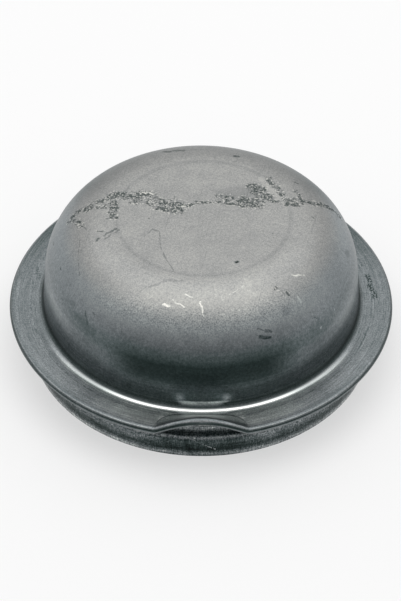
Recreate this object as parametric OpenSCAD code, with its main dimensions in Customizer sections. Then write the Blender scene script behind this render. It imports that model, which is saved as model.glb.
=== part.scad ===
// Wheel cap: one steel sheet, drawn to a crown, folded to a flange and stepped out to a press-fit skirt.
// The skirt's lower edge lies on z = 0, and the axis of the cap is Z. The prising lip faces -Y.

/* [Sheet] */
// Thickness of the steel sheet
sheet_t = 0.8; // [0.6:0.05:1.0]

/* [Crown] */
// Outer diameter of the crown's wall, at the shoulder
crown_d = 64.6; // [60:0.2:65.5]
// How far the wall spreads on each side, from the shoulder down to the foot
wall_spread = 0.6; // [0:0.05:0.6]
// Height of the crown above the flange
crown_h = 21.6; // [19:0.2:30]
// Outer radius of the rounded shoulder between the crown's top and its wall
shoulder_r = 13.7; // [8:0.1:16]
// Radius of the hollow corner between the crown's wall and the flange
foot_r = 1.4; // [0.8:0.1:1.4]

/* [Flange] */
// Outer diameter of the folded flange
flange_d = 80; // [78:0.5:90]

/* [Skirt] */
// Outer diameter of the band that is pressed into the hub
seat_d = 72; // [71:0.1:74]
// How far the neck between the flange and the band lies inside the band
neck_depth = 2.6; // [2.3:0.1:3]
// Depth of the skirt below the flange
skirt_h = 9; // [8:0.1:14]
// Height of the press-fit band, with its rounded top edge and its lead-in
band_h = 5.2; // [4.6:0.1:5.6]
// Radius of the hollow corner between the flange's underside and the neck
neck_r = 0.4; // [0.3:0.05:0.6]
// Radius of the band's rounded top edge
band_edge_r = 1.2; // [1.1:0.05:1.4]
// Radius of the hollow corner between the neck and the ledge on top of the band
ledge_corner_r = 0.8; // [0.4:0.1:0.9]
// Height of the turned-in lead at the skirt's lower edge
lead_h = 1.2; // [0.8:0.1:1.6]
// How far the lead turns in
lead_in = 0.15; // [0.1:0.05:0.7]

/* [Prising lip] */
// Half of the angle that the raised lip takes in the flange
lip_half_angle = 13.8; // [10:0.2:18]
// Angle by which the lip is bent up at its middle
lip_bend = 38; // [10:1:45]
// Width of the flat strip between the hollow corners and the lip's crease
lip_strip = 0.45; // [0.4:0.05:2]

/* [Hidden] */

$fn = 128;
crown_r = crown_d / 2;
flange_r = flange_d / 2;
seat_r = seat_d / 2;
neck_wall_r = seat_r - neck_depth;
flange_under_z = skirt_h;
flange_fold_z = flange_under_z + sheet_t;
flange_top_z = flange_fold_z + sheet_t;
crown_top_z = flange_top_z + crown_h;
shoulder_z = crown_top_z - shoulder_r;
crown_flat_r = crown_r - shoulder_r;
foot_top_z = flange_top_z + foot_r;
foot_inner_r = crown_r + wall_spread;
foot_outer_r = foot_inner_r + foot_r;
fold_r = flange_r - sheet_t;
ledge_r = seat_r - band_edge_r;
band_straight_z = band_h - band_edge_r;
hollow_r = max(foot_outer_r, neck_wall_r + neck_r);
crease_r = hollow_r + lip_strip;

// The lip is a swept section that fills a gap in the flange. It reaches past the gap into the flange,
// and lies a little inside the flange's two faces, so that the two solids share no face or edge.
gap_r = hollow_r + 0.15;
gap_half_angle = lip_half_angle + 0.25;
lip_root_r = hollow_r + 0.07;
lip_end_angle = lip_half_angle + 0.5;
lip_half_t = sheet_t - 0.02;
lip_steps = 24;
fold_steps = 8;

// A curved length of sheet: centre, radius of the smaller side, and the quarter that it fills
module bend(centre, inner_r, quarter) {
    translate(centre)
        intersection() {
            difference() {
                circle(r = inner_r + sheet_t);
                circle(r = inner_r);
            }
            rotate(quarter * 90)
                square(inner_r + 2 * sheet_t);
        }
}

// A straight length of sheet, from one corner to the other
module flat(low, high) {
    translate(low)
        square(high - low);
}

module crown_section() {
    flat([0, crown_top_z - sheet_t], [crown_flat_r, crown_top_z]);
    bend([crown_flat_r, shoulder_z], shoulder_r - sheet_t, 0);
    polygon([
        [crown_r - sheet_t, shoulder_z],
        [foot_inner_r - sheet_t, foot_top_z],
        [foot_inner_r, foot_top_z],
        [crown_r, shoulder_z]
    ]);
    bend([foot_outer_r, foot_top_z], foot_r, 2);
}

module flange_section() {
    flat([foot_outer_r, flange_fold_z], [fold_r, flange_top_z]);
    intersection() {
        translate([fold_r, flange_fold_z])
            circle(r = sheet_t);
        flat([fold_r, flange_under_z], [flange_r + sheet_t, flange_top_z]);
    }
    flat([neck_wall_r + neck_r, flange_under_z], [fold_r, flange_fold_z]);
    bend([neck_wall_r + neck_r, flange_under_z - neck_r], neck_r, 1);
}

module skirt_section() {
    flat([neck_wall_r - sheet_t, band_h + ledge_corner_r], [neck_wall_r, flange_under_z - neck_r]);
    bend([neck_wall_r + ledge_corner_r, band_h + ledge_corner_r], ledge_corner_r, 2);
    flat([neck_wall_r + ledge_corner_r, band_h - sheet_t], [ledge_r, band_h]);
    bend([ledge_r, band_straight_z], band_edge_r - sheet_t, 0);
    flat([seat_r - sheet_t, lead_h], [seat_r, band_straight_z]);
    polygon([
        [seat_r - sheet_t, lead_h],
        [seat_r - sheet_t - lead_in, 0],
        [seat_r - lead_in, 0],
        [seat_r, lead_h]
    ]);
}

// The piece of the flange that the raised lip takes the place of
module lip_gap() {
    reach = flange_r * 1.2;
    side = reach * tan(gap_half_angle);
    difference() {
        translate([0, 0, flange_under_z - sheet_t])
            linear_extrude(4 * sheet_t)
                polygon([[0, 0], [-side, -reach], [side, -reach]]);
        translate([0, 0, flange_under_z - 2 * sheet_t])
            cylinder(r = gap_r, h = 6 * sheet_t);
    }
}

// How far the lip reaches in from the rim at an angle from its middle, from 1 down to 0 at its ends
function lip_reach(angle) = pow(max(0, 1 - pow(abs(angle) / lip_half_angle, 3)), 1 / 3);

// Radius at which the lip's crease lies. It stays inside the fold.
function lip_crease_r(angle) = min(fold_r - 0.1, flange_r - (flange_r - crease_r) * lip_reach(angle));

// Bend of the lip. The rim rises in a parabola from one end of the lip to the other.
function lip_tilt(angle) =
    asin(sin(lip_bend) * max(0, 1 - pow(angle / lip_half_angle, 2)) / max(0.01, lip_reach(angle)));

// The lip's section at an angle from its middle, mitred at the crease: underside, fold, top
function lip_section(angle) =
    let (crease = lip_crease_r(angle), tilt = lip_tilt(angle), mitre = lip_half_t * tan(tilt / 2))
    concat(
        [[lip_root_r, flange_fold_z - lip_half_t], [crease + mitre, flange_fold_z - lip_half_t]],
        [for (i = [0:fold_steps])
            let (
                turn = -90 + 180 * i / fold_steps,
                out = fold_r - crease + lip_half_t * cos(turn),
                up = lip_half_t * sin(turn)
            )
            [crease + out * cos(tilt) - up * sin(tilt), flange_fold_z + out * sin(tilt) + up * cos(tilt)]],
        [[crease - mitre, flange_fold_z + lip_half_t], [lip_root_r, flange_fold_z + lip_half_t]]
    );

module lip() {
    angles = concat(
        [-lip_end_angle],
        [for (i = [0:lip_steps]) lip_half_angle * (2 * i / lip_steps - 1)],
        [lip_end_angle]
    );
    n = len(lip_section(0));
    last = len(angles) - 1;
    points = [for (angle = angles, p = lip_section(angle)) [p[0] * sin(angle), -p[0] * cos(angle), p[1]]];
    sides = [
        for (i = [0:last - 1], j = [0:n - 1])
            [i * n + j, i * n + (j + 1) % n, (i + 1) * n + (j + 1) % n, (i + 1) * n + j]
    ];
    first_end = [for (j = [n - 1:-1:0]) j];
    last_end = [for (j = [0:n - 1]) last * n + j];
    polyhedron(points = points, faces = concat(sides, [first_end, last_end]), convexity = 6);
}

module cap() {
    color([0.52, 0.54, 0.54]) {
        difference() {
            rotate_extrude() {
                crown_section();
                flange_section();
                skirt_section();
            }
            lip_gap();
        }
        lip();
    }
}

cap();
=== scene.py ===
# %% [markdown]
# # A worn wheel cap of pressed steel
# The cap closes the hub of a wheel and keeps its grease in. It is one sheet of steel: a drawn crown with a
# flat top, a flange folded back under itself, and a stepped skirt that is pressed into the hub. In front, a
# short piece of the flange is bent up, so that a blade can prise the cap off. We draw its section with a
# pen of one vertex, spin it to a full turn, bend the lip, and then give each zone its own worn finish.

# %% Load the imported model
import math

import bmesh
import bpy
from mathutils import Matrix, Vector


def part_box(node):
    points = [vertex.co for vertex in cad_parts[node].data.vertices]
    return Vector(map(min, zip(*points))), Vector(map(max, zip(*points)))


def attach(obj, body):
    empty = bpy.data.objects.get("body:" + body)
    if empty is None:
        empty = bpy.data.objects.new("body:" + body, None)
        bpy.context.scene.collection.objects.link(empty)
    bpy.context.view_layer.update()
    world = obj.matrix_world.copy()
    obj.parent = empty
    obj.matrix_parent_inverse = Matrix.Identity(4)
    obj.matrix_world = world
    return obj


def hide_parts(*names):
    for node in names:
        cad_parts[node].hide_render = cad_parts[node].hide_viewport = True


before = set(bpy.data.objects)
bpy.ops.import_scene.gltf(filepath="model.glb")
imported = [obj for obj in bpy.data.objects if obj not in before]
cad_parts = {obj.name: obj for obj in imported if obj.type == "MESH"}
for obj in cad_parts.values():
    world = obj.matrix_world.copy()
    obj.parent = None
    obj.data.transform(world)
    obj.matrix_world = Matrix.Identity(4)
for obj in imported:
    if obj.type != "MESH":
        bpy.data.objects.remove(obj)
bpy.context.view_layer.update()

MM = 0.001
node_low, node_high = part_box("cap")
print("packed cap, in mm:", [round(c / MM, 2) for c in (*node_low, *node_high)])

# %% [markdown]
# ## Camera
# The picture was taken from a third of a metre above a table, with a long lens. Measured on the outlines of
# the flange and the skirt, the line of sight slopes 42.7 degrees down, from 0.48 m away. The camera stood
# half a degree to the left of the lip, and was held about half a degree askew. We make the camera first, so
# that each later step can be looked at in the final frame.

# %% Camera
SIGHT_SLOPE = math.radians(42.7)
SIGHT_SIDE = math.radians(-0.5)
SIGHT_ROLL = math.radians(0.57)
SIGHT_LENGTH = 0.480
AIM = Vector((-0.00012, 0, 0.00944))

camera_data = bpy.data.cameras.new("Table_camera")
camera_data.lens = 137.2
camera_data.sensor_width = 36
camera_data.clip_start = 0.01
camera = bpy.data.objects.new("Table_camera", camera_data)
turned = (Matrix.Rotation(SIGHT_SIDE, 3, "Z") @ Matrix.Rotation(math.pi / 2 - SIGHT_SLOPE, 3, "X")
          @ Matrix.Rotation(SIGHT_ROLL, 3, "Z"))
camera.rotation_euler = turned.to_euler()
camera.location = AIM + turned @ Vector((0, 0, SIGHT_LENGTH))
bpy.context.scene.collection.objects.link(camera)
bpy.context.scene.camera = camera
print("camera height, in m:", round(camera.location.z, 4))

# %% [markdown]
# ## The section
# A turned or drawn part is fully told by its section, so we draw that once, as the die maker does. A plane
# merged to one vertex is our pen. Extruding that vertex draws a straight, and spinning it about a point
# draws a bend. The path goes over the outside from the middle of the top to the lower edge, and back up
# the inside, so that the spun skin is closed and has the real thickness of the sheet.

# %% Sizes of the section, in millimetres
SHEET = 0.8
CROWN_R, CROWN_TOP = 32.3, 32.2
WALL_SPREAD = 0.6
SHOULDER_R, FOOT_R = 13.7, 1.4
RIM_R = 40.0
FOLD_Z = 9.8
BAND_R, BAND_TOP, BAND_EDGE_R = 36.0, 5.2, 1.2
NECK_R, NECK_HOLLOW_R, LEDGE_HOLLOW_R = 33.4, 0.4, 0.8
LEAD_HEIGHT, LEAD_IN = 1.2, 0.15

TOP_FLAT_R = CROWN_R - SHOULDER_R
SHOULDER_Z = CROWN_TOP - SHOULDER_R
FLANGE_TOP = FOLD_Z + SHEET
FOOT_TOP = FLANGE_TOP + FOOT_R
FOOT_INNER_R = CROWN_R + WALL_SPREAD
FOOT_OUTER_R = FOOT_INNER_R + FOOT_R
FOLD_R = RIM_R - SHEET
NECK_OUTER_R = NECK_R + NECK_HOLLOW_R
FLANGE_UNDER = FOLD_Z - SHEET
LEDGE_OUTER_R = BAND_R - BAND_EDGE_R
print("sheet:", SHEET, "mm; flat part of the top:", round(2 * TOP_FLAT_R, 1), "mm across")


# %% A pen that draws straights and bends
def start_pen(r, z):
    bpy.ops.object.select_all(action="DESELECT")
    bpy.ops.mesh.primitive_plane_add(size=MM, location=(0, 0, 0), enter_editmode=True)
    bpy.ops.mesh.select_all(action="SELECT")
    bpy.ops.mesh.merge(type="CENTER")
    bpy.ops.transform.translate(value=(r * MM, 0, z * MM))
    return bpy.context.object


def pen_place(pen):
    tip = [v for v in bmesh.from_edit_mesh(pen.data).verts if v.select][-1]
    return tip.co.x / MM, tip.co.z / MM


def straight(pen, r, z, steps=1):
    old_r, old_z = pen_place(pen)
    for _ in range(steps):
        bpy.ops.mesh.extrude_vertices_move(
            TRANSFORM_OT_translate={"value": ((r - old_r) * MM / steps, 0, (z - old_z) * MM / steps)})


def bend(pen, centre_r, centre_z, degrees, steps):
    bpy.ops.mesh.spin(
        steps=steps, angle=math.radians(degrees), center=(centre_r * MM, 0, centre_z * MM), axis=(0, 1, 0))


# %% Outside of the section, from the middle of the top to the lower edge
cap = start_pen(0, CROWN_TOP)
cap.name = cap.data.name = "cap_sheet"
straight(cap, TOP_FLAT_R, CROWN_TOP, steps=8)
bend(cap, TOP_FLAT_R, SHOULDER_Z, degrees=-90, steps=32)
straight(cap, FOOT_INNER_R, FOOT_TOP, steps=6)
bend(cap, FOOT_OUTER_R, FOOT_TOP, degrees=90, steps=9)
straight(cap, FOLD_R, FLANGE_TOP, steps=22)
bend(cap, FOLD_R, FOLD_Z, degrees=-180, steps=14)
straight(cap, NECK_OUTER_R, FLANGE_UNDER, steps=22)
bend(cap, NECK_OUTER_R, FLANGE_UNDER - NECK_HOLLOW_R, degrees=90, steps=4)
straight(cap, NECK_R, BAND_TOP + LEDGE_HOLLOW_R, steps=4)
bend(cap, NECK_R + LEDGE_HOLLOW_R, BAND_TOP + LEDGE_HOLLOW_R, degrees=90, steps=5)
straight(cap, LEDGE_OUTER_R, BAND_TOP, steps=2)
bend(cap, LEDGE_OUTER_R, BAND_TOP - BAND_EDGE_R, degrees=-90, steps=8)
straight(cap, BAND_R, LEAD_HEIGHT, steps=5)
straight(cap, BAND_R - LEAD_IN, 0, steps=2)
print("outside ends at", [round(c, 3) for c in pen_place(cap)])

# %% Inside of the section, from the lower edge back to the middle
straight(cap, BAND_R - LEAD_IN - SHEET, 0)
straight(cap, BAND_R - SHEET, LEAD_HEIGHT)
straight(cap, BAND_R - SHEET, BAND_TOP - BAND_EDGE_R, steps=2)
bend(cap, LEDGE_OUTER_R, BAND_TOP - BAND_EDGE_R, degrees=90, steps=4)
straight(cap, NECK_R + LEDGE_HOLLOW_R, BAND_TOP - SHEET)
bend(cap, NECK_R + LEDGE_HOLLOW_R, BAND_TOP + LEDGE_HOLLOW_R, degrees=-90, steps=6)
straight(cap, NECK_R - SHEET, FLANGE_UNDER - NECK_HOLLOW_R, steps=2)
bend(cap, NECK_OUTER_R, FLANGE_UNDER - NECK_HOLLOW_R, degrees=-90, steps=6)
straight(cap, FOOT_OUTER_R, FOLD_Z)
bend(cap, FOOT_OUTER_R, FOOT_TOP, degrees=-90, steps=7)
straight(cap, CROWN_R - SHEET, SHOULDER_Z, steps=3)
bend(cap, TOP_FLAT_R, SHOULDER_Z, degrees=90, steps=20)
straight(cap, 0, CROWN_TOP - SHEET, steps=4)
print("inside ends at", [round(c, 3) for c in pen_place(cap)])

# %% [markdown]
# ## A measuring tape on the section
# Each band of wear on this cap runs round it at one place of the section: the polished foot, the bright line
# on the rim, the dark seam below it. So we write on each point how far it lies along the section from the
# middle of the top, in millimetres. Spinning and bending carry the numbers along, so that a finish can be
# laid by this tape, also on the bent lip.

# %% Write the tape
bpy.ops.object.mode_set(mode="OBJECT")
tape = cap.data.attributes.new("tape", "FLOAT", "POINT")
neighbours = {v.index: [] for v in cap.data.vertices}
for edge in cap.data.edges:
    for here, there in (edge.vertices, reversed(edge.vertices)):
        neighbours[here].append(there)
ends = [index for index, near in neighbours.items() if len(near) == 1]
here = max(ends, key=lambda index: cap.data.vertices[index].co.z)
before, travelled = None, 0.0
while here is not None:
    tape.data[here].value = travelled
    onward = [index for index in neighbours[here] if index != before]
    before, here = here, onward[0] if onward else None
    if onward:
        travelled += (cap.data.vertices[here].co - cap.data.vertices[before].co).length / MM
print(len(cap.data.vertices), "points; the tape is", round(travelled, 2), "mm long")

FOOT_TAPE = TOP_FLAT_R + SHOULDER_R * math.pi / 2 + math.hypot(WALL_SPREAD, SHOULDER_Z - FOOT_TOP)
FLANGE_TAPE = FOOT_TAPE + FOOT_R * math.pi / 2
RIM_TAPE = FLANGE_TAPE + FOLD_R - FOOT_OUTER_R
UNDER_TAPE = RIM_TAPE + SHEET * math.pi
NECK_TAPE = UNDER_TAPE + FOLD_R - NECK_OUTER_R
BAND_EDGE_TAPE = (NECK_TAPE + (NECK_HOLLOW_R + LEDGE_HOLLOW_R) * math.pi / 2
                  + FLANGE_UNDER - NECK_HOLLOW_R - BAND_TOP - LEDGE_HOLLOW_R
                  + LEDGE_OUTER_R - NECK_R - LEDGE_HOLLOW_R)
BAND_TAPE = BAND_EDGE_TAPE + BAND_EDGE_R * math.pi / 2
INSIDE_TAPE = BAND_TAPE + BAND_TOP - BAND_EDGE_R - LEAD_HEIGHT + math.hypot(LEAD_IN, LEAD_HEIGHT)
print("tape at foot, flange, rim, underside, neck, band, inside:", [round(t, 2) for t in (
    FOOT_TAPE, FLANGE_TAPE, RIM_TAPE, UNDER_TAPE, NECK_TAPE, BAND_TAPE, INSIDE_TAPE)])

# %% [markdown]
# ## The prising lip
# The lip is a short arc of the flange, bent up along a curved crease. It needs finer columns than the rest
# of the turn, so we keep a copy of the section for the rest, and spin the lip's sector first, on its own,
# with a column every 0.4 degrees. Each column is then bent in three small turns, so that the crease is
# round. The rim rises in a parabola from end to end, and the crease runs in a flat arch: close to the crown
# in the middle, and steeply out to the rim at its ends.

# %% Spin the lip's sector. Seen from above, a positive turn of these two operators runs clockwise.
SECTOR = 40
SECTOR_STEP = 0.4

bpy.ops.object.duplicate()
ring = bpy.context.object
ring.name = "rest_of_the_turn"
bpy.ops.object.select_all(action="DESELECT")
bpy.context.view_layer.objects.active = cap
cap.select_set(True)
bpy.ops.object.mode_set(mode="EDIT")
bpy.ops.mesh.select_all(action="SELECT")
bpy.ops.transform.rotate(
    value=math.radians(90 + SECTOR / 2), orient_axis="Z", center_override=(0, 0, 0))
bpy.ops.mesh.spin(
    steps=round(SECTOR / SECTOR_STEP), angle=-math.radians(SECTOR), center=(0, 0, 0), axis=(0, 0, 1))


def angle_from_lip(co):
    """Degrees round the cap's axis from the middle of the lip, which faces -Y."""
    return math.degrees(math.atan2(co.x, -co.y))


skin = bmesh.from_edit_mesh(cap.data)
angles = [angle_from_lip(v.co) for v in skin.verts if v.co.xy.length > MM]
print("sector:", round(min(angles), 2), "to", round(max(angles), 2), "degrees,", len(skin.verts), "points")

# %% Shape of the lip
LIP_HALF_ANGLE = 13.8
LIP_BEND = 38
CREASE_R = 34.75
CREASE_TO_FOLD = 0.1
BEND_WIDTH = 0.75
BEND_TURNS = 3


def lip_reach(angle):
    """How far the lip reaches in from the rim, from 1 in the middle down to 0 at its ends."""
    return max(0, 1 - (abs(angle) / LIP_HALF_ANGLE) ** 3) ** (1 / 3)


def crease_radius(angle):
    return min(FOLD_R - CREASE_TO_FOLD, RIM_R - (RIM_R - CREASE_R) * lip_reach(angle))


def lip_tilt(angle):
    """The column's bend about a line along X, in radians, that lets the rim rise in a parabola."""
    rise = math.sin(math.radians(LIP_BEND)) * (1 - (angle / LIP_HALF_ANGLE) ** 2) / lip_reach(angle)
    return math.asin(rise / math.cos(math.radians(angle)))


print("bend at 0, 6 and 12 degrees:", [round(math.degrees(lip_tilt(angle)), 1) for angle in (0, 6, 12)])

# %% Bend the lip, column by column
HAIR = 0.01


def select_points(picked):
    bpy.ops.mesh.select_all(action="DESELECT")
    skin = bmesh.from_edit_mesh(cap.data)
    skin.verts.ensure_lookup_table()
    for index in picked:
        skin.verts[index].select = True
    skin.select_flush(True)
    bmesh.update_edit_mesh(cap.data)


skin = bmesh.from_edit_mesh(cap.data)
skin.verts.index_update()
columns = {}
for v in skin.verts:
    column = round(angle_from_lip(v.co) / SECTOR_STEP) * SECTOR_STEP
    in_flange = FLANGE_UNDER - HAIR < v.co.z / MM < FLANGE_TOP + HAIR
    if in_flange and abs(column) < LIP_HALF_ANGLE:
        columns.setdefault(round(column, 3), []).append((v.index, v.co.xy.length / MM))

for column, points in columns.items():
    turn = lip_tilt(column) / BEND_TURNS
    across, along = math.sin(math.radians(column)), math.cos(math.radians(column))
    step = BEND_WIDTH / BEND_TURNS
    first_r = crease_radius(column) - step * (BEND_TURNS - 1) / 2
    pivot = [first_r * across, -first_r * along, FOLD_Z]
    for i in range(BEND_TURNS):
        beyond = {index for index, r in points if r > first_r + i * step}
        select_points(beyond)
        bpy.ops.transform.rotate(value=turn, orient_axis="X", center_override=[c * MM for c in pivot])
        pivot[0] += step * across
        pivot[1] -= step * along * math.cos(turn * (i + 1))
        pivot[2] += step * along * math.sin(turn * (i + 1))
rim = max(v.co.z for v in bmesh.from_edit_mesh(cap.data).verts if v.co.xy.length > CREASE_R * MM) / MM
print(len(columns), "columns bent; the rim rises", round(rim - FLANGE_TOP, 2), "mm in the middle")
bpy.ops.object.mode_set(mode="OBJECT")

# %% [markdown]
# ## The rest of the turn
# One slice of ten degrees, spun from the copied section, is repeated 31 times by a spin that duplicates,
# which is much quicker than one long spin. Joined with the lip's sector and merged by distance, it closes
# the ring and both poles. Edges sharper than 38 degrees stay sharp, all others are shaded smooth.

# %% Spin the rest and close the skin
SLICE = 10
SLICE_STEPS = 8
MERGE_WITHIN = 1e-6
SHARP_FROM = math.radians(38)

bpy.ops.object.select_all(action="DESELECT")
bpy.context.view_layer.objects.active = ring
ring.select_set(True)
bpy.ops.object.mode_set(mode="EDIT")
bpy.ops.mesh.select_all(action="SELECT")
bpy.ops.transform.rotate(
    value=math.radians(90 - SECTOR / 2), orient_axis="Z", center_override=(0, 0, 0))
bpy.ops.mesh.spin(
    steps=SLICE_STEPS, angle=-math.radians(SLICE), center=(0, 0, 0), axis=(0, 0, 1))
bpy.ops.mesh.select_all(action="SELECT")
copies = (360 - SECTOR) // SLICE - 1
bpy.ops.mesh.spin(
    steps=copies, angle=-math.radians(SLICE * copies), dupli=True, center=(0, 0, 0), axis=(0, 0, 1))
bpy.ops.object.mode_set(mode="OBJECT")

cap.select_set(True)
bpy.context.view_layer.objects.active = cap
bpy.ops.object.join()
bpy.ops.object.mode_set(mode="EDIT")
bpy.ops.mesh.select_all(action="SELECT")
bpy.ops.mesh.remove_doubles(threshold=MERGE_WITHIN)
bpy.ops.mesh.normals_make_consistent(inside=False)
bpy.ops.object.mode_set(mode="OBJECT")
bpy.ops.object.shade_smooth_by_angle(angle=SHARP_FROM)
triangles = sum(len(f.vertices) - 2 for f in cap.data.polygons)
print(len(cap.data.vertices), "points,", triangles, "triangles")

skin = bmesh.new()
skin.from_mesh(cap.data)
print("open edges:", sum(not e.is_manifold for e in skin.edges),
      " volume:", round(skin.calc_volume() / MM ** 3, 1), "mm3")
skin.free()

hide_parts("cap")
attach(cap, "root")


# %% Places on the tape, by what a maker would measure there
def foot_at(slope):
    """Tape at the point of the foot's hollow where the skin slopes so far from upright."""
    return FOOT_TAPE + FOOT_R * math.radians(slope)


def flange_at(radius):
    return FLANGE_TAPE + radius - FOOT_OUTER_R


def rim_at(normal):
    """Tape at the point of the fold whose normal rises so many degrees; 90 is the top, -90 the underside."""
    return RIM_TAPE + SHEET * math.radians(90 - normal)


def band_edge_at(normal):
    return BAND_EDGE_TAPE + BAND_EDGE_R * math.radians(90 - normal)


def band_at(z):
    return BAND_TAPE + BAND_TOP - BAND_EDGE_R - z


def neck_at(down):
    return NECK_TAPE + down


def on_tape(*zones, last):
    """Stops on the tape, from (where, tone) lists for the functions above. The last ones are as they are."""
    return [(at(where), tone) for at, stops in zones for where, tone in stops] + last


def to_neck(tone):
    return [(UNDER_TAPE, tone), (NECK_TAPE, tone)]


print("tape at band edge and lead:", round(band_edge_at(90), 2), round(band_at(LEAD_HEIGHT), 2))


# %% [markdown]
# ## How a worn finish is built
# Worn steel isn't one colour. We work as a painter of metal would. First comes a tone, a single number from
# dark to bare steel, which changes over the section and also carries painted light and shade: painted
# highlights, painted reflections and painted shade. Grain, streaks and blotches then multiply it, and
# the marks are laid over it. Only at the end does a ramp turn the tone into a colour, because this steel is
# greenish where it is dark and almost neutral where it is light. A small class keeps the wiring short.

# %% A tree of layers
# How far a point faces the lip, where round_the_cap hands over from one curve to the next; the change round
# the cap is painted light and shade.
FACING_THE_LIP = ((-0.55, -0.1), (0.35, 0.74), (0.77, 0.93))


class Layers:
    def __init__(self, tree):
        self.tree = tree

    def feed(self, socket, value):
        if isinstance(value, bpy.types.NodeSocket):
            self.tree.links.new(value, socket)
        else:
            socket.default_value = value

    def add(self, kind, values=(), out=0, **settings):
        node = self.tree.nodes.new("ShaderNode" + kind)
        for setting, value in settings.items():
            setattr(node, setting, value)
        for name, value in dict(values).items():
            self.feed(node.inputs[name], value)
        return node.outputs[out]

    def calc(self, operation, *values):
        return self.add("Math", enumerate(values), operation=operation)

    def vector(self, operation, *values):
        measures = operation in ("DISTANCE", "LENGTH", "DOT_PRODUCT")
        return self.add("VectorMath", enumerate(values), out="Value" if measures else "Vector",
                        operation=operation)

    def scale(self, vector, factor):
        return self.add("VectorMath", {0: vector, 3: factor}, out="Vector", operation="SCALE")

    def between(self, value, start, end, low=0.0, high=1.0):
        """Goes smoothly from low to high while the value goes from start to end."""
        return self.add("MapRange", enumerate((value, start, end, low, high)),
                        interpolation_type="SMOOTHSTEP")

    def away(self, value, centre):
        return self.calc("ABSOLUTE", self.calc("SUBTRACT", value, centre))

    def near(self, value, centre, reach, core):
        """A mask that is 1 within `core` of the centre, and 0 beyond `reach`."""
        return self.between(self.away(value, centre), reach, core)

    def both(self, mask, other):
        return self.calc("MULTIPLY", mask, other)

    def plus(self, base, noise, share):
        return self.calc("MULTIPLY_ADD", noise, share, base)

    def over(self, tone, mask, new_tone):
        return self.add("Mix", {0: mask, 2: tone, 3: new_tone}, data_type="FLOAT")

    def darken(self, tone, mask, share):
        return self.calc("MULTIPLY", tone, self.calc("SUBTRACT", 1.0, self.calc("MULTIPLY", mask, share)))

    def speckle(self, tone, noise, share):
        """Multiplies the tone by 1 - share to 1 + share, while the noise goes from 0 to 1."""
        return self.calc("MULTIPLY", tone, self.plus(1 - share, noise, 2 * share))

    def round_the_cap(self, tone, *curves):
        """Blends from the back's curve to those of the flanks, the quarters beside the lip, and its side."""
        for (start, end), curve in zip(FACING_THE_LIP, curves):
            tone = self.over(tone, self.between(self.front, start, end), curve)
        return tone

    def curve(self, value, stops):
        """The tone or colour at a place, from a list of (place, tone) stops in rising order."""
        first, last = stops[0][0], stops[-1][0]
        share = self.add("MapRange", enumerate((value, first, last, 0.0, 1.0)))
        ramp = self.add("ValToRGB", {0: share}, out="Color")
        band = ramp.node.color_ramp
        for place, _ in stops[1:-1]:
            band.elements.new((place - first) / (last - first))
        for element, (_, tone) in zip(band.elements, stops):
            element.color = (*((tone,) * 3 if isinstance(tone, float) else tone), 1)
        return ramp


# %% [markdown]
# ## One scrape
# A scrape, a scratch or a fleck is the set of points that lie close to a short line. We make that test once,
# as a node group: it drops the point onto the line, measures how far it fell, and fades from the core to the
# edge. Each mark is then one copy of the group with its own line. The crown's marks are given by x and y
# alone, as on a plan, and a helper finds the height of the crown there.

# %% The group for one scrape
scrape_tree = bpy.data.node_groups.new("Scrape", "ShaderNodeTree")
for name, kind in (("Place", "Vector"), ("Start", "Vector"), ("Span", "Vector"), ("Width", "Float"),
                   ("Core", "Float")):
    scrape_tree.interface.new_socket(name=name, in_out="INPUT", socket_type="NodeSocket" + kind)
scrape_tree.interface.new_socket(name="Mask", in_out="OUTPUT", socket_type="NodeSocketFloat")
scrape_in = scrape_tree.nodes.new("NodeGroupInput").outputs
scrape_out = scrape_tree.nodes.new("NodeGroupOutput").inputs
group = Layers(scrape_tree)
from_start = group.vector("SUBTRACT", scrape_in["Place"], scrape_in["Start"])
length_squared = group.vector("DOT_PRODUCT", scrape_in["Span"], scrape_in["Span"])
share = group.calc("DIVIDE", group.vector("DOT_PRODUCT", from_start, scrape_in["Span"]), length_squared)
share.node.use_clamp = True
foot_point = group.scale(scrape_in["Span"], share)
fallen = group.vector("DISTANCE", from_start, foot_point)
core = group.calc("MULTIPLY", scrape_in["Width"], scrape_in["Core"])
group.feed(scrape_out["Mask"], group.between(fallen, scrape_in["Width"], core))
print("nodes in one scrape:", len(scrape_tree.nodes))


def on_crown(x, y):
    """The point of the crown above (x, y), in millimetres."""
    beyond = max(0.0, math.hypot(x, y) - TOP_FLAT_R)
    return x, y, SHOULDER_Z + math.sqrt(SHOULDER_R ** 2 - beyond ** 2)


# %% A finish: a steel material built in layers
STEEL_COLOURS = [
    (0.0, (0, 0, 0)), (0.032, (0.021, 0.032, 0.031)), (0.067, (0.05, 0.067, 0.067)),
    (0.12, (0.097, 0.12, 0.123)), (0.18, (0.158, 0.18, 0.188)), (0.30, (0.275, 0.30, 0.312)),
    (0.40, (0.37, 0.40, 0.403)), (0.60, (0.55, 0.60, 0.59)), (0.80, (0.77, 0.80, 0.79)),
    (1.0, (0.98, 1.0, 0.99))]
WARM_TINT = (1.08, 1.0, 0.945, 1)
SEED_STEP = (17.3, 5.1, 9.7)
STREAK_SEED_STEP = 11.0
FAR = 99.0
MARK_MARGIN = 2.5
DOT_LENGTH = 0.02


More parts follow.
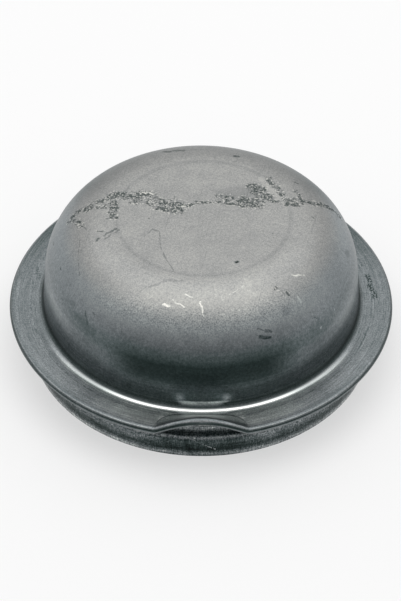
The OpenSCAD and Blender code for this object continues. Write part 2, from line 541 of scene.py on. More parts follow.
class Finish(Layers):
    def __init__(self, name):
        self.material = bpy.data.materials.new(name)
        self.material.use_nodes = True
        super().__init__(self.material.node_tree)
        cap.data.materials.append(self.material)
        self.tape = self.add("Attribute", out="Fac", attribute_name="tape")
        self.place = self.scale(self.add("TexCoord", out="Object"), 1 / MM)
        split = self.add("SeparateXYZ", {0: self.place}).node.outputs
        self.x, self.y, self.z = split
        flat = self.add("CombineXYZ", {0: self.x, 1: self.y})
        self.r = self.vector("LENGTH", flat)
        self.turn = self.vector("NORMALIZE", flat)
        turn_split = self.add("SeparateXYZ", {0: self.turn}).node.outputs
        self.front = self.calc("MULTIPLY", turn_split[1], -1.0)
        self.right = turn_split[0]

    def grain(self, size, detail=2.0, seed=0.0, roughness=0.5):
        """Noise whose specks are about `size` millimetres wide."""
        place = self.vector("ADD", self.place, [seed * step for step in SEED_STEP])
        return self.add("TexNoise", {"Vector": place, "Scale": 1 / size, "Detail": detail,
                                     "Roughness": roughness})

    def streaks(self, around, across, detail=2.0, seed=0.0):
        """Noise whose streaks are `around` mm long round the cap, and `across` mm wide over the section."""
        turned = self.scale(self.turn, BAND_R / around)
        down = self.calc("DIVIDE", self.tape, across)
        over = self.add("CombineXYZ", {0: seed * STREAK_SEED_STEP, 2: down})
        return self.add("TexNoise", {"Vector": self.vector("ADD", turned, over), "Scale": 1.0,
                                     "Detail": detail})

    def marks(self, marks, place, low_x=-FAR, high_x=FAR, core=0.4):
        """The strongest mark at each point, of those near low_x to high_x. See the lists below."""
        mask = 0.0
        for width, strength, line in marks:
            points = [Vector(p if len(p) == 3 else on_crown(*p)) for p in line]
            if len(points) == 1:
                points.append(points[0] + Vector((DOT_LENGTH, 0, 0)))
            for start, end in zip(points, points[1:]):
                if max(start.x, end.x) < low_x - MARK_MARGIN or min(start.x, end.x) > high_x + MARK_MARGIN:
                    continue
                node = self.tree.nodes.new("ShaderNodeGroup")
                node.node_tree = scrape_tree
                for socket, value in zip(node.inputs, (place, start, end - start, width, core)):
                    self.feed(socket, value)
                mask = self.calc("MAXIMUM", mask, self.calc("MULTIPLY", node.outputs["Mask"], strength))
        return mask

    def count(self, step):
        print(self.material.name, "has", len(self.tree.nodes), "nodes after", step)

    def finish(self, tone, roughness, relief, warm=0.0):
        """Turns the tone into a colour and wires the shader. The relief is a height in millimetres."""
        shader = self.tree.nodes["Principled BSDF"]
        shader.inputs["Metallic"].default_value = 1.0
        colour = self.curve(tone, STEEL_COLOURS)
        warmest = self.add("Mix", {0: 1.0, 6: colour, 7: WARM_TINT}, out=2, data_type="RGBA",
                           blend_type="MULTIPLY")
        warmed = self.add("Mix", {0: warm, 6: colour, 7: warmest}, out=2, data_type="RGBA")
        self.feed(shader.inputs["Base Color"], warmed)
        self.feed(shader.inputs["Roughness"], roughness)
        bump = self.add("Bump", {"Height": relief, "Distance": MM}, out="Normal")
        self.feed(shader.inputs["Normal"], bump)
        self.count("the last layer")


# %% [markdown]
# ## The crown's marks
# A line of dark gouges crosses the top, where the cap was struck or levered. Seen closely it is a chain of
# flakes, so its lines say where flakes are dense, and noise cuts them out. Beside it are single scratches
# and dots, glints that are painted highlights, and a broad patch of painted light behind the gouges. All are
# given in millimetres, seen from above, as a restorer would note them on a plan.

# %% A plan of the crown's marks: width, strength, and the points of each line
GOUGES = [
    (1.33, 0.9, [(-27.2, 2.2), (-26.0, 3.5), (-24.9, 4.3)]),
    (1.46, 0.97, [(-23.9, 3.9), (-21.8, 5.3), (-19.8, 5.8), (-17.9, 7.2)]),
    (2.18, 1.0, [(-18.6, 6.6), (-17.4, 7.2)]),
    (2.3, 0.92, [(-17.4, 7.2), (-14.6, 6.8), (-12.4, 7.4), (-10.6, 7.2)]),
    (2.9, 0.8, [(-13.5, 5.8), (-9.8, 5.4)]),
    (2.51, 0.88, [(-9.8, 5.6), (-7.4, 4.6)]),
    (2.7, 1.05, [(-7.2, 4.2), (-4.6, 3.9)]),
    (2.18, 1.0, [(-6.6, 2.5), (-4.6, 2.5)]),
    (1.69, 0.8, [(-9.5, 3.2), (-7.0, 2.3)]),
    (1.09, 1.0, [(-2.7, 3.9), (-1.2, 4.8), (0.5, 4.7), (2.0, 5.1)]),
    (0.96, 0.97, [(2.0, 5.0), (4.4, 5.0), (6.0, 4.4), (7.6, 4.3)]),
    (2.18, 0.75, [(3.6, 6.6), (6.4, 6.0)]),
    (1.94, 0.8, [(6.0, 5.0), (7.8, 5.2)]),
    (3.29, 1.0, [(8.6, 5.2), (11.2, 4.9)]),
    (2.32, 1.05, [(10.4, 10.0), (12.2, 9.0)]),
    (2.9, 1.0, [(11.6, 8.2), (13.6, 6.6)]),
    (1.46, 1.0, [(13.6, 5.6), (15.8, 5.4)]),
    (2.18, 0.84, [(16.8, 5.6), (20.2, 5.2)]),
    (1.22, 1.0, [(17.4, 4.4), (19.6, 4.4)]),
    (1.46, 1.05, [(20.2, 5.6), (22.8, 5.9), (25.2, 6.6), (27.2, 6.9), (28.6, 6.4)]),
    (1.22, 0.9, [(-23.4, 3.6), (-21.3, 3.8), (-19.3, 3.6)]),
    (1.81, 1.05, [(-18.2, 4.4), (-18.0, 1.8), (-17.9, 0.4)]),
    (1.46, 0.8, [(-26.2, 1.7), (-25.0, 0.2), (-24.6, -0.8)]),
    (1.69, 0.84, [(13.9, 12.3), (15.2, 10.2)]),
    (1.22, 0.86, [(15.6, 9.6), (16.6, 7.4)]),
    (1.22, 0.8, [(19.2, 8.8), (20.2, 6.6)]),
    (0.78, 0.7, [(14.6, -19.6), (17.2, -20.1)]),
]
DARK_SCRATCHES = [
    (0.16, 0.8, [(-19.6, -0.3), (-17.2, -0.1)]),
    (0.2, 0.6, [(-24.7, -0.8), (-23.2, -2.7)]),
    (0.24, 0.8, [(-20.9, -3.7), (-19.9, -4.3)]),
    (0.36, 0.75, [(-21.2, -6.5), (-17.4, -3.6)]),
    (0.3, 0.5, [(-19.6, -6.3), (-16.7, -4.0)]),
    (0.2, 0.5, [(-11.6, -5.7), (-10.0, -3.5), (-8.6, -4.4), (-8.3, -8.7), (-7.3, -12.3), (-5.5, -16.2)]),
    (0.18, 0.5, [(-24.6, -5.2), (-24.8, -10.4), (-24.5, -13.4)]),
    (0.4, 0.35, [(-10.2, -20.2), (-6.7, -18.6), (-3.7, -19.1)]),
    (0.6, 0.9, [(-8.0, 22.6), (-6.6, 22.4)]),
    (0.6, 0.85, [(-5.8, 22.7), (-3.7, 22.6)]),
    (0.16, 0.45, [(-3.7, 22.6), (1.4, 23.0)]),
    (0.5, 0.9, [(7.0, 20.3), (7.8, 20.1)]),
    (0.15, 0.6, [(-5.6, 7.1), (-5.6, 5.9)]),
    (0.55, 1.0, [(11.5, -28.0), (13.2, -27.6)]),
    (0.3, 0.8, [(10.9, -27.2), (13.7, -26.8)]),
    (0.6, 1.2, [(6.9, -13.3)]),
    (0.25, 0.8, [(-10.7, -0.1)]),
    (0.25, 0.8, [(22.4, 1.2), (22.7, 0.9)]),
    (0.2, 0.7, [(14.3, -4.5)]),
    (0.25, 0.8, [(-30.3, -0.3), (-30.2, -0.9)]),
    (0.25, 0.8, [(-28.5, -8.5), (-28.4, -9.2)]),
    (0.25, 0.7, [(-15.9, -26.8)]),
    (0.2, 0.7, [(12.2, -24.7)]),
    (0.25, 0.8, [(24.2, -18.9)]),
    (0.35, 0.9, [(19.4, 12.4), (20.0, 12.0)]),
    (0.35, 0.6, [(-23.1, -20.2), (-22.7, -21.9)]),
    (0.8, 0.3, [(-26.9, -15.6), (-25.6, -17.5)]),
    (0.9, 0.4, [(29.4, -4.4), (29.8, -3.4)]),
    (0.2, 0.5, [(-21.7, -21.1), (-20.7, -22.1)]),
    (1.2, 0.24, [(-25.0, -19.2), (-21.7, -23.2)]),
    (0.18, 0.6, [(21.9, -21.6), (23.1, -20.8)]),
    (1.3, 0.25, [(16.2, -23.1), (16.6, -23.0)]),
    (2.6, 0.22, [(4.5, 7.6), (10.5, 9.0)]),
]
BRIGHT_MARKS_AND_GLINTS = [
    (0.15, 0.35, [(3.9, -23.5), (7.9, -20.1)]),
    (0.24, 0.5, [(17.8, -16.0), (20.2, -15.3)]),
    (0.14, 0.5, [(17.9, -16.6), (19.5, -16.1)]),
    # Painted highlights: glints on the grain of the front shoulder.
    (0.3, 0.9, [(-7.6, -24.0), (-6.2, -24.5)]),
    (0.22, 0.7, [(-5.8, -23.4), (-3.5, -24.9)]),
    (0.2, 0.8, [(-0.4, -23.8), (0.2, -26.3)]),
    (0.2, 0.6, [(-3.1, -22.3), (-1.9, -23.1)]),
    (0.3, 0.3, [(23.8, -21.2)]),
    (0.3, 0.3, [(26.5, -17.1)]),
    (0.3, 0.35, [(18.9, -20.0), (19.5, -20.6)]),
    (0.9, 0.13, [(12.3, 12.7), (16.0, 5.3)]),
    (0.25, 0.9, [(-12.1, 7.9), (-11.6, 7.5)]),
    (0.25, 0.9, [(-10.7, 7.7), (-10.2, 7.2)]),
    (0.25, 0.7, [(-4.0, 3.5), (-3.3, 3.7)]),
    (0.2, 0.6, [(-10.8, 5.4), (-10.4, 5.2)]),
    # Painted light: a broad, faintly lighter patch behind the gouges.
    (5.5, 0.035, [(0.0, 13.0), (7.0, 13.2)]),
]
print(len(GOUGES), "gouge lines,", len(DARK_SCRATCHES), "dark and", len(BRIGHT_MARKS_AND_GLINTS), "bright marks")


# %% [markdown]
# ## Crown finish
# The top is bare steel, rubbed matt. Down the shoulder the tone is painted darker, most low on the side of
# the lip and much less on the flanks, as painted shade; high on the front shoulder and low on the flanks it
# is painted lighter, as painted highlights. So we have four curves of tone over the height, and blend them
# by how far a point faces the lip. Small grain breaks up the tone like the skin of a rolled sheet.

# %% Crown: tone over the height
def crown_tone(crown):
    # Painted light and shade: darker down the shoulder, most on the side of the lip; painted highlights high
    # on the front shoulder and low on the flanks.
    lip_side = crown.curve(crown.z, [
        (11.9, 0.09), (13.2, 0.095), (14.5, 0.1), (15.7, 0.095), (16.8, 0.047), (18, 0.034), (19.5, 0.03),
        (20.9, 0.028), (22, 0.058), (23.2, 0.098), (24.3, 0.167), (25.4, 0.249), (26.5, 0.308),
        (27.8, 0.348), (29, 0.333), (30.2, 0.345), (31.1, 0.363), (31.8, 0.349), (32.2, 0.316)])
    quarter = crown.curve(crown.z, [
        (11.9, 0.09), (13, 0.14), (14.5, 0.155), (15.5, 0.14), (16.5, 0.155), (18, 0.177), (19.5, 0.163),
        (21, 0.118), (23, 0.144), (25, 0.256), (27, 0.352), (29, 0.344), (31, 0.304), (32.2, 0.311)])
    flanks = crown.curve(crown.z, [
        (11.9, 0.1), (13, 0.134), (14.5, 0.19), (15.5, 0.215), (16.5, 0.28), (18, 0.39), (19.5, 0.4),
        (21, 0.23), (23, 0.189), (25, 0.227), (27, 0.273), (29, 0.304), (31, 0.301), (32.2, 0.318)])
    back = crown.curve(crown.z, [
        (11.9, 0.11), (18, 0.18), (24, 0.15), (27, 0.12), (29, 0.122), (31, 0.225), (32.2, 0.312)])
    return crown.round_the_cap(back, flanks, quarter, lip_side)


# %% Crown: grain, blotches, painted glints and hairlines. A hairline layer is its turn in degrees, its shade and its seed.
WALL_FROM, WALL_TO, WALL_RINGS = 19.0, 15.0, 0.5
LOWER_FROM, LOWER_TO, LOWER_SPECKS = 27.0, 23.0, 0.4
PAINTED_GLINT_Z, PAINTED_GLINT_SHARE = 28.8, 0.55
HAIRLINES = ((35, 0.14, 4.0), (-24, -0.12, 5.0), (78, 0.14, 6.0))
HAIRLINE_LENGTH, HAIRLINE_WIDTH = 7.0, 0.25


def crown_grain(crown, tone):
    for noise, share in ((crown.fine, 0.46), (crown.speck, 0.28), (crown.blotch, 0.14), (crown.cloud, 0.12)):
        tone = crown.speckle(tone, noise, share)
    rings = crown.streaks(40.0, 0.35, seed=1.0)
    on_wall = crown.between(crown.z, WALL_FROM, WALL_TO)
    tone = crown.over(tone, on_wall, crown.speckle(tone, rings, WALL_RINGS))
    # Speckled grain on the lower shoulder and wall, where the tone is painted darker as shade.
    on_lower_shoulder = crown.between(crown.z, LOWER_FROM, LOWER_TO)
    tone = crown.over(tone, on_lower_shoulder, crown.speckle(tone, crown.speck, LOWER_SPECKS))
    # Painted glints: high on the front shoulder the tone is speckled lighter and darker, as highlights on
    # the grain.
    in_front = crown.between(crown.front, 0.55, 0.9)
    painted_glints = crown.both(in_front, crown.near(crown.z, PAINTED_GLINT_Z, reach=2.2, core=0.8))
    tone = crown.over(tone, painted_glints, crown.speckle(tone, crown.fine, PAINTED_GLINT_SHARE))
    for turn, shade, seed in HAIRLINES:
        turned = crown.add("Mapping", {
            "Vector": crown.place, "Location": (seed, seed, 0), "Rotation": (0, 0, math.radians(turn)),
            "Scale": (HAIRLINE_LENGTH, HAIRLINE_WIDTH, HAIRLINE_LENGTH)}, vector_type="TEXTURE")
        hair = crown.add("TexNoise", {"Vector": turned, "Scale": 1.0, "Detail": 1.0})
        tone = crown.darken(tone, crown.between(hair, 0.66, 0.76), shade)
    return tone


print("hairline layers:", len(HAIRLINES))

# %% [markdown]
# ### The lip's image in the wall
# Low in front, the wall is smooth enough to mirror the lip: a pale line just above the foot, with two faint
# arms that rise from its ends. The matt finish that suits the rest of the wall would blur so small an image
# away, so we paint it into the tone. The dark ring near where the flat top bends into the shoulder is
# painted shade of that bend. It is broken into dots, so the specks of the grain decide where it shows.

# %% Crown: the lip's image
IMAGE_X, LINE_Z, LINE_TONE = 0.3, 12.2, 0.62
ARM_X, ARM_Z, ARM_TONE = 4.6, 13.1, 0.25


def lip_image(crown, tone):
    beside = crown.away(crown.x, IMAGE_X)
    line = crown.both(crown.near(crown.z, LINE_Z, reach=0.45, core=0.1), crown.between(beside, 5.3, 4.3))
    arms = crown.both(crown.near(beside, ARM_X, reach=1.3, core=0.1),
                      crown.near(crown.z, ARM_Z, reach=1.6, core=0.2))
    in_front = crown.between(crown.front, 0.9, 0.97)
    tone = crown.over(tone, crown.both(line, in_front), LINE_TONE)
    return crown.over(tone, crown.both(arms, in_front), ARM_TONE)


print("the image is", 2 * ARM_X, "mm wide, from arm to arm")

# %% Crown: a ring of painted shade round the flat top, near where it bends into the shoulder
RING_CENTRE, RING_R, RING_SHADE = (0.3, 0.4, CROWN_TOP), 17.8, 0.24


def crown_ring_shade(crown, tone):
    from_middle = crown.vector("DISTANCE", crown.place, RING_CENTRE)
    line = crown.near(from_middle, RING_R, reach=0.8, core=0.1)
    # Painted shade: a dotted dark ring round the flat top.
    return crown.darken(tone, crown.both(line, crown.between(crown.speck, 0.42, 0.58)), RING_SHADE)


print("the ring is", 2 * RING_R, "mm across")

# %% [markdown]
# ### Flakes and scratches
# Where the gouges are dense, the steel is a little darker as a whole, some of it has broken out in dark
# flakes, and between them bare chips shine. All three come from noise that is cut off at a level, and the
# level falls where the plan says dense. Every line is bent by a slow wobble, since no scratch is straight,
# and broken where it skipped over the grain.

# %% Crown: gouges, scratches and painted glints
WOBBLE_SCALE, WOBBLE_MIDDLE = 0.9, (0.5, 0.5, 0.5)
FLAKE_SIZE, FLAKES_WHERE_DENSE = 0.85, 0.28
HALO, SCRATCH_SHADE = 0.12, 0.8
CHIP_SIZE, CHIP_COVER, CHIP_TONE = 0.45, 0.7, 0.6
BRIGHT_TONE = 0.85


def crown_marks(crown, tone, low_x, high_x):
    wobble = crown.add("TexNoise", {"Vector": crown.place, "Scale": WOBBLE_SCALE}, out="Color")
    place = crown.vector("ADD", crown.vector("SUBTRACT", wobble, WOBBLE_MIDDLE), crown.place)
    density = crown.marks(GOUGES, place, low_x, high_x, core=0.15)
    flake_noise = crown.grain(FLAKE_SIZE, detail=4.0, seed=7.0, roughness=0.72)
    level = crown.plus(flake_noise, density, FLAKES_WHERE_DENSE)
    flakes = crown.both(crown.between(level, 0.68, 0.78), crown.between(density, 0.05, 0.35))
    tone = crown.darken(tone, crown.between(density, 0.0, 0.8), HALO)
    tone = crown.darken(tone, flakes, crown.between(crown.fine, 0.35, 0.65, 0.38, 0.78))
    chip_noise = crown.between(crown.grain(CHIP_SIZE, seed=8.0), 0.54, 0.63)
    chips = crown.both(chip_noise, crown.between(density, 0.1, 0.5))
    tone = crown.over(tone, crown.both(chips, CHIP_COVER), CHIP_TONE)
    broken = crown.between(crown.speck, 0.38, 0.56, 0.6, 1.0)
    dark = crown.both(crown.marks(DARK_SCRATCHES, place, low_x, high_x), broken)
    tone = crown.darken(tone, dark, SCRATCH_SHADE)
    # Bright marks: real scratches and chips, and painted glints and a patch of painted light.
    bright = crown.both(crown.marks(BRIGHT_MARKS_AND_GLINTS, place, low_x, high_x), broken)
    return crown.over(tone, bright, BRIGHT_TONE), flakes


print("flakes are about", FLAKE_SIZE, "mm wide, chips", CHIP_SIZE, "mm")

# %% [markdown]
# ### Three sheets
# A renderer works out a material in a small store, and about fifty scrapes fill it. So we cut the plan of
# the crown into three sheets. Each has its own material, made by the same code, with only the marks that
# lie on it or reach over its edge. The layers are the same on both sides of an edge, so no seam shows.

# %% Crown: one finish for each sheet of the plan
CROWN_SHEETS = (("crown_steel_left", -FAR, -8.0), ("crown_steel_middle", -8.0, 5.0),
                ("crown_steel_right", 5.0, FAR))
MATT, POLISHED = 0.33, 0.17
WALL_SMOOTHER = -0.10
FINE_RELIEF, BLOTCH_RELIEF, FLAKE_RELIEF = 0.006, 0.02, -0.02

for name, low_x, high_x in CROWN_SHEETS:
    crown = Finish(name)
    crown.fine = crown.grain(0.26)
    crown.speck = crown.grain(0.6, detail=3.0, seed=1.0, roughness=0.65)
    crown.blotch = crown.grain(3.2, detail=3.0, seed=2.0)
    crown.cloud = crown.grain(11.0, seed=3.0)
    tone = crown_ring_shade(crown, crown_grain(crown, lip_image(crown, crown_tone(crown))))
    tone, flakes = crown_marks(crown, tone, low_x, high_x)
    roughness = crown.plus(crown.plus(MATT, crown.blotch, 0.10), flakes, 0.15)
    roughness = crown.calc("ADD", roughness, crown.between(crown.z, 19.0, 15.5, 0.0, WALL_SMOOTHER))
    relief = crown.plus(crown.calc("MULTIPLY", crown.blotch, BLOTCH_RELIEF), crown.fine, FINE_RELIEF)
    relief = crown.plus(relief, flakes, FLAKE_RELIEF)
    crown.finish(tone, roughness, relief, warm=crown.between(crown.z, 27.6, 31.0))

# %% [markdown]
# ## Flange finish
# The hollow at the foot of the crown is polished by the die; its bright ring is a painted highlight,
# brightest towards the lip, above painted shade low in the hollow. Round it the flange is matt, with fine
# turned lines, a dark line beside the foot, and scuffs. On the fold at the rim, a bright line is a painted
# highlight, and the dark line below it is a painted dark reflection. Again there are four curves, now over
# the tape.

# %% Flange: tone over the tape
flange = Finish("flange_steel")
# Painted light and shade: a painted highlight in the foot's hollow over painted shade, and on the rim a
# painted highlight over a painted dark reflection.
lip_side = flange.curve(flange.tape, on_tape(
    (foot_at, [(0, 0.066), (14, 0.062), (30, 0.09), (44, 0.15), (52, 0.26), (58, 0.74), (68, 1.0)]),
    (flange_at, [(34.4, 1.0), (34.6, 0.75), (35, 0.41), (35.6, 0.43), (36.2, 0.5), (37.6, 0.51),
                 (38.4, 0.42)]),
    (rim_at, [(90, 0.22), (76, 0.17), (66, 0.32), (56, 0.32), (46, 0.17), (34, 0.11), (27, 0.03),
              (18, 0.035), (8, 0.15), (-10, 0.22), (-40, 0.22)]),
    last=to_neck(0.3)))
quarter = flange.curve(flange.tape, on_tape(
    (foot_at, [(0, 0.094), (14, 0.072), (30, 0.068), (44, 0.097), (52, 0.27), (58, 0.4), (80, 0.48),
               (86, 0.7)]),
    (flange_at, [(34.5, 0.52), (35, 0.273), (35.6, 0.28), (37.6, 0.275), (38.4, 0.255)]),
    (rim_at, [(90, 0.166), (76, 0.166), (64, 0.27), (56, 0.29), (46, 0.195), (34, 0.14), (27, 0.05),
              (18, 0.05), (8, 0.165), (-10, 0.178)]),
    last=to_neck(0.2)))
flanks = flange.curve(flange.tape, on_tape(
    (foot_at, [(0, 0.094), (14, 0.069), (30, 0.067), (44, 0.097), (52, 0.148), (58, 0.17), (80, 0.193)]),
    (flange_at, [(34.5, 0.205), (35, 0.194), (35.6, 0.229), (36.2, 0.195), (38.4, 0.203)]),
    (rim_at, [(90, 0.18), (76, 0.2), (64, 0.21), (56, 0.164), (46, 0.096), (18, 0.076), (8, 0.11)]),
    last=to_neck(0.2)))
back = flange.curve(flange.tape, on_tape(
    (foot_at, [(0, 0.15)]),
    (flange_at, [(35, 0.2), (36.2, 0.16), (38.4, 0.13)]),
    (rim_at, [(90, 0.11), (60, 0.27), (20, 0.12)]),
    last=to_neck(0.2)))
flange_tone = flange.round_the_cap(back, flanks, quarter, lip_side)
flange.count("the tone")

# %% [markdown]
# ### The lip
# The lip's face is lighter than the flange beside it, so it has a curve of its own. That curve also holds a
# painted reflection of the lip low in the foot, and the rim's painted highlight and painted dark reflection.
# Bent up, it shows the eye another part of its fold, so there we read the curve earlier on the tape, most in
# the middle. The crease is drawn again as a thin dark line of painted shade, on the same arch by which the
# mesh was bent.

# %% Flange: tone over the lip
LIP_SHIFT = 0.77
LIGHTER_ENDS = 0.4
WIDTH_AT_FOOT = 0.6

azimuth = flange.calc("MULTIPLY", flange.calc("ARCTAN2", flange.right, flange.front), 180 / math.pi)
across_lip = flange.calc("DIVIDE", flange.calc("ABSOLUTE", azimuth), LIP_HALF_ANGLE)
shift = flange.both(flange.between(flange.tape, flange_at(38.0), flange_at(39.0)),
                    flange.plus(-LIP_SHIFT, across_lip, LIP_SHIFT))
# Painted reflection of the lip low in the foot, and on the rim a painted highlight over a painted dark
# reflection.
lip_curve = flange.curve(flange.calc("ADD", flange.tape, shift), on_tape(
    (foot_at, [(0, 0.62), (14, 0.26), (30, 0.09), (44, 0.12), (52, 0.55), (58, 0.86), (80, 0.85),
               (86, 0.75)]),
    (flange_at, [(34.5, 0.47), (35, 0.44), (35.6, 0.49), (36.3, 0.6), (37.2, 0.54), (37.8, 0.44),
                 (38.2, 0.31), (38.75, 0.16), (39.05, 0.19)]),
    (rim_at, [(79, 0.21), (62, 0.3), (52, 0.33), (38, 0.15), (22, 0.035), (0, 0.038), (-16, 0.18),
              (-40, 0.22)]),
    last=to_neck(0.3)))
lip_ends = flange.both(flange.between(across_lip, 0.5, 0.9),
                       flange.between(flange.tape, flange_at(38.6), flange_at(37.8)))
lip_curve = flange.both(lip_curve, flange.plus(1.0, lip_ends, LIGHTER_ENDS))
past_foot = flange.between(flange.tape, foot_at(50), foot_at(60))
lip_width = flange.over(WIDTH_AT_FOOT, past_foot, 1.0)
full_within = flange.over(0.7, past_foot, 0.92)
on_lip = flange.between(flange.calc("DIVIDE", across_lip, lip_width), 1.02, full_within)
flange_tone = flange.over(flange_tone, on_lip, lip_curve)
flange.count("the lip")

# %% Flange: turned lines, grain and a dotted line
POLISHED_SLOPE = 72
DOTS_R, DOTS_SHADE = 35.6, 0.35

turned_lines = flange.streaks(30.0, 0.3, detail=3.0)
turned_grain = flange.streaks(2.5, 0.3, seed=2.0)
flange_fine = flange.grain(0.26)
flange_blotch = flange.grain(3.0, detail=3.0, seed=2.0)
polished = flange.both(flange.between(flange.front, 0.35, 0.86),
                       flange.near(flange.tape, foot_at(POLISHED_SLOPE), reach=0.8, core=0.45))
matt = flange_tone
for noise, share in ((turned_lines, 0.45), (turned_grain, 0.36), (flange_fine, 0.8), (flange_blotch, 0.2)):
    matt = flange.speckle(matt, noise, share)
flange_tone = flange.over(matt, polished, flange_tone)
dots = flange.both(flange.near(flange.r, DOTS_R, reach=0.35, core=0.08),
                   flange.between(flange.streaks(1.2, 0.4, seed=4.0), 0.45, 0.6))
flange_tone = flange.darken(flange_tone, dots, DOTS_SHADE)
flange.count("the grain")

# %% Flange: painted shade in the crease of the lip, and two scrapes
CREASE_SHADE, SCRAPE_SHADE = 0.65, 0.75
FLANGE_SCRAPES = [
    (0.75, 1.0, [(35.1, 6.8, FLANGE_TOP), (35.7, 4.6, FLANGE_TOP), (35.3, 3.4, FLANGE_TOP),
                 (36.3, 1.6, FLANGE_TOP), (36.4, -0.1, FLANGE_TOP)]),
    (0.6, 0.4, [(-34.7, 8.6, FLANGE_TOP), (-34.3, 6.8, FLANGE_TOP), (-34.3, 5.4, FLANGE_TOP)]),
]
reach = flange.calc("SUBTRACT", 1.0, flange.calc("POWER", across_lip, 3.0))
reach = flange.calc("POWER", flange.calc("MAXIMUM", reach, 0.0), 1 / 3)
crease_tape = flange.plus(flange_at(RIM_R), reach, -(RIM_R - CREASE_R))
# Painted shade: a thin dark line along the crease.
crease = flange.both(flange.near(flange.tape, crease_tape, reach=0.32, core=0.08),
                     flange.between(across_lip, 1.0, 0.97))
flange_tone = flange.darken(flange_tone, crease, CREASE_SHADE)
scraped = flange.both(flange.marks(FLANGE_SCRAPES, flange.place),
                      flange.between(flange.grain(0.4, seed=6.0), 0.42, 0.55))
flange_tone = flange.darken(flange_tone, scraped, SCRAPE_SHADE)
flange.count("the scrapes")

# %% Flange: colour, roughness and relief
LINE_RELIEF = 0.008

roughness = flange.over(flange.plus(MATT, flange_blotch, 0.10), polished, POLISHED)
relief = flange.plus(flange.calc("MULTIPLY", flange_fine, FINE_RELIEF), turned_lines, LINE_RELIEF)
relief = flange.over(relief, polished, 0.0)
flange.finish(flange_tone, roughness, relief, warm=0.2)

# %% [markdown]
# ## Skirt finish
# The band was driven into a hub, which drew fine lines along its axis. Above it, under the flange, the neck
# is painted lighter, as painted light, and the ledge darker, as painted shade. The upper edge of the band
# has a painted highlight, and the lead at its lower edge is lighter. Below the lip the tone is darkest, as
# painted shade, with one long bright scratch and a dark smear, so that side has its own curve.

# %% Skirt: tone over the tape
skirt = Finish("skirt_steel")
# Painted light and shade: the neck lighter, the ledge and the side of the lip darker, and a painted
# highlight on the band's upper edge.
lip_side = skirt.curve(skirt.tape, on_tape(
    (neck_at, [(0, 0.4), (2.4, 0.32), (3, 0.44), (4.1, 0.32), (4.6, 0.14)]),
    (band_edge_at, [(75, 0.12), (64, 0.25), (57, 0.42), (48, 0.27), (35, 0.143), (25, 0.068), (5, 0.074)]),
    (band_at, [(3.7, 0.068), (3.2, 0.047), (2.6, 0.035), (2.1, 0.026), (1.75, 0.034), (1.5, 0.089),
               (1.2, 0.132), (0.8, 0.234), (0.4, 0.17)]),
    last=[(INSIDE_TAPE, 0.075)]))
flanks = skirt.curve(skirt.tape, on_tape(
    (neck_at, [(0, 0.4), (2.4, 0.3), (4.2, 0.2)]),
    (band_edge_at, [(70, 0.2), (55, 0.25), (35, 0.248), (25, 0.2), (5, 0.18)]),
    (band_at, [(3.7, 0.174), (3.2, 0.13), (2.6, 0.087), (2.1, 0.065), (1.8, 0.08), (1.5, 0.123),
               (1.2, 0.153), (0.8, 0.33), (0.4, 0.39)]),
    last=[(INSIDE_TAPE, 0.17)]))
skirt_tone = skirt.over(flanks, skirt.between(skirt.front, 0.93, 0.985), lip_side)
skirt.count("the tone")

# %% Skirt: driving lines, patches, one long scratch and a smear
SKIRT_SCRATCH = (0.2, 0.9, [(-1.6, -35.8, 4.6), (2.8, -35.9, 2.1)])
SKIRT_SMEAR = (0.7, 0.7, [(-3.0, -35.7, 4.3), (-2.4, -35.9, 1.3)])
SCRATCH_TONE, SMEAR_SHADE = 0.4, 0.7

driving_lines = skirt.streaks(0.22, 1.6)
wide_lines = skirt.streaks(1.1, 4.0, seed=3.0)
rubbed_lines = skirt.streaks(3.0, 0.35, detail=3.0, seed=5.0)
skirt_fine = skirt.between(skirt.grain(0.28), 0.3, 0.7)
skirt_patch = skirt.grain(2.6, detail=3.0, seed=2.0)
for noise, share in ((driving_lines, 1.0), (wide_lines, 0.3), (rubbed_lines, 0.9), (skirt_fine, 0.62),
                     (skirt_patch, 0.6)):
    skirt_tone = skirt.speckle(skirt_tone, noise, share)
scratch = skirt.marks([SKIRT_SCRATCH], skirt.place)
skirt_tone = skirt.over(skirt_tone, skirt.both(scratch, skirt.between(skirt_fine, 0.4, 0.55)), SCRATCH_TONE)
skirt_tone = skirt.darken(skirt_tone, skirt.marks([SKIRT_SMEAR], skirt.place), SMEAR_SHADE)
roughness = skirt.plus(0.34, skirt_patch, 0.12)
relief = skirt.plus(skirt.calc("MULTIPLY", skirt_fine, FINE_RELIEF), driving_lines, 0.01)
skirt.finish(skirt_tone, roughness, relief, warm=0.15)

# %% [markdown]
# ## Inside finish
# The inside never saw the weather. It is plain drawn steel under a dull film, with the rings that the punch
# left on it. The picture hides it, so it stays quiet.

# %% Inside
INSIDE_TONE = 0.24
DULL = 0.42

inside = Finish("inside_steel")
inside_tone = INSIDE_TONE
for noise, share in ((inside.streaks(25.0, 0.5, detail=3.0), 0.3), (inside.grain(0.3), 0.25),
                     (inside.grain(6.0, detail=3.0, seed=2.0), 0.3)):
    inside_tone = inside.speckle(inside_tone, noise, share)
inside.finish(inside_tone, inside.plus(DULL, inside.grain(4.0), 0.15),
              inside.calc("MULTIPLY", inside.grain(0.4), 0.008))

# %% Lay each finish on its zone of the tape
tape = cap.data.attributes["tape"]
zones = (FOOT_TAPE, NECK_TAPE, INSIDE_TAPE)
for face in cap.data.polygons:
    middle = sum(tape.data[i].value for i in face.vertices) / len(face.vertices)
    zone = sum(middle > end for end in zones)
    if zone:
        face.material_index = len(CROWN_SHEETS) - 1 + zone
    else:
        face.material_index = sum(face.center.x / MM > high_x for _, _, high_x in CROWN_SHEETS)
finishes = [slot.name for slot in cap.material_slots]
print({name: sum(f.material_index == i for f in cap.data.polygons) for i, name in enumerate(finishes)})

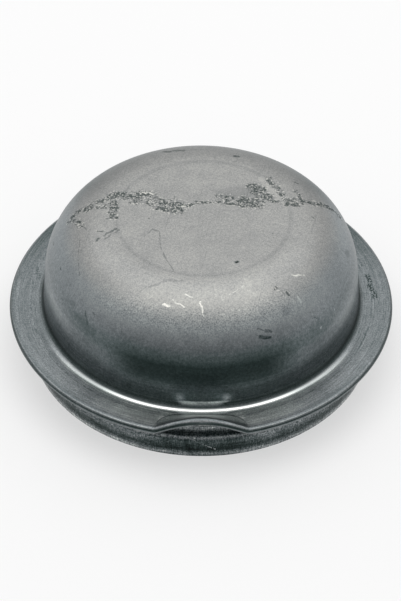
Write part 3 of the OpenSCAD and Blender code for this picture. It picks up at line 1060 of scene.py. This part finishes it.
# %% [markdown]
# ## Studio
# The cap stands on pale paper under a wide soft lamp, in a room that is brighter above and behind it. The
# picture's background is cut out and white. We get there with the paper's own colour, and by letting half
# of it shine plainly white to the eye and to the steel, so that the cap keeps a soft shadow.

# %% Paper
PAPER_SIZE = 8
PAPER = 0.93
PLAIN_SHARE = 0.5

bpy.ops.object.select_all(action="DESELECT")
bpy.ops.mesh.primitive_plane_add(size=PAPER_SIZE, location=(0, 0, 0))
floor = bpy.context.object
floor.name = "floor"
paper = bpy.data.materials.new("pale_paper")
paper.use_nodes = True
sheet = Layers(paper.node_tree)
paper_shader = paper.node_tree.nodes["Principled BSDF"]
paper_shader.inputs["Base Color"].default_value = (PAPER, PAPER, PAPER, 1)
paper_shader.inputs["Roughness"].default_value = 0.9
paper_shader.inputs["Specular IOR Level"].default_value = 0.0
rays = sheet.add("LightPath").node.outputs
seen = sheet.calc("MAXIMUM", sheet.calc("MAXIMUM", rays["Is Camera Ray"], rays["Is Glossy Ray"]),
                  rays["Is Transmission Ray"])
plain = sheet.add("Emission", {"Color": (1, 1, 1, 1), "Strength": 1.0})
mixed = sheet.add("MixShader", {0: sheet.both(seen, PLAIN_SHARE), 1: paper_shader.outputs[0], 2: plain})
sheet.feed(paper.node_tree.nodes["Material Output"].inputs["Surface"], mixed)
floor.data.materials.append(paper)
print("paper:", PAPER_SIZE, "m square")

# %% Room and lamp
ROOM_LIGHT, BRIGHTER_BEHIND, BRIGHTER_ABOVE = 0.55, 0.30, 0.35

world = bpy.data.worlds.new("Soft_room")
bpy.context.scene.world = world
world.use_nodes = True
room = Layers(world.node_tree)
sight = room.add("SeparateXYZ", {0: room.add("TexCoord", out="Generated")}).node.outputs
level = room.plus(ROOM_LIGHT, sight["Y"], BRIGHTER_BEHIND)
level = room.plus(level, sight["Z"], BRIGHTER_ABOVE)
room.feed(world.node_tree.nodes["Background"].inputs["Color"], level)

lamp_data = bpy.data.lights.new("Overhead_softbox", "AREA")
lamp_data.shape = "RECTANGLE"
lamp_data.size, lamp_data.size_y = 1.0, 0.8
lamp_data.energy = 1.5
lamp = bpy.data.objects.new("Overhead_softbox", lamp_data)
lamp.location = (0, 0.12, 0.6)
lamp.rotation_euler = (math.radians(-10), 0, 0)
bpy.context.scene.collection.objects.link(lamp)
bpy.context.scene.view_settings.view_transform = "Standard"
print("lamp:", lamp_data.energy, "W over", lamp_data.size, "by", round(lamp_data.size_y, 2), "m")
